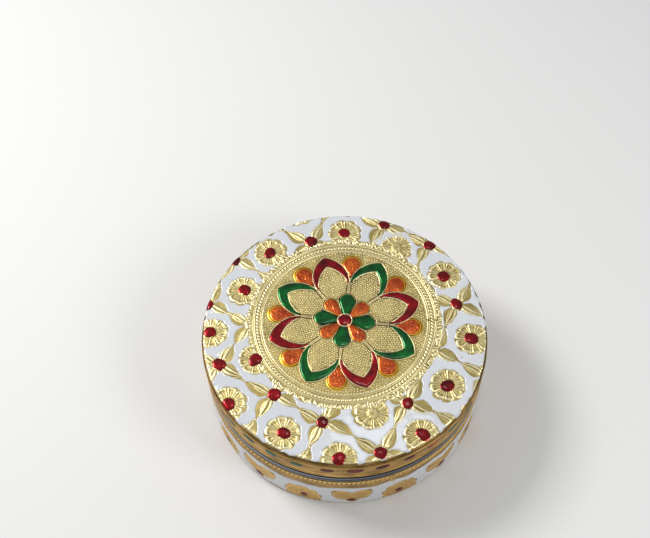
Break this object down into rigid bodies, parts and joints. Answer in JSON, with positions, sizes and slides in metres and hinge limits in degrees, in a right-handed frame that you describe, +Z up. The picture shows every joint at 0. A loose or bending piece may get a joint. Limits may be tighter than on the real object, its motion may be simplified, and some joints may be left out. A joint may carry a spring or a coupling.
{
  "type": "meenakari box",
  "caption": "Round flat box with a lift-off lid, pressed steel pans skinned with embossed gilt sheet and coloured enamel.",
  "frame": {"origin": "centre of the flat underside", "axes": "+Z up through the lid, -Y towards the front, +X to the right"},
  "size_m": [0.15, 0.15, 0.0539],
  "materials": {
    "steel": "polished stainless sheet with fine turning marks inside",
    "gilt": "embossed gilt foil, pale gold with darker hollows",
    "side_gilt": "embossed gilt foil, browner and more worn than the lid's",
    "white_enamel": "thick hand-poured glossy enamel paint",
    "red_enamel": "clear red lacquer over gilt",
    "green_enamel": "clear green lacquer over gilt",
    "orange_enamel": "clear orange lacquer over gilt"
  },
  "bodies": {
    "base": {"base_pan": "steel", "base_wrap": "side_gilt", "base_white_enamel": "white_enamel", "base_red_dots": "red_enamel"},
    "lid": {"lid_pan": "steel", "lid_band": "side_gilt", "lid_plate": "gilt", "lid_white_enamel": "white_enamel", "lid_red_dots": "red_enamel", "medallion_red_tips": "red_enamel", "medallion_green_tips": "green_enamel", "medallion_orange_drops": "orange_enamel", "floret_green_drops": "green_enamel", "floret_orange_drops": "orange_enamel", "floret_red_centre": "red_enamel", "band_green_ovals": "green_enamel", "band_red_ovals": "red_enamel", "band_orange_ovals": "orange_enamel"}
  },
  "joints": [
    {"name": "lid_lift", "type": "slide", "parent": "base", "child": "lid", "axis": [0, 0, 1], "range_m": [0, 0.08]}
  ]
}
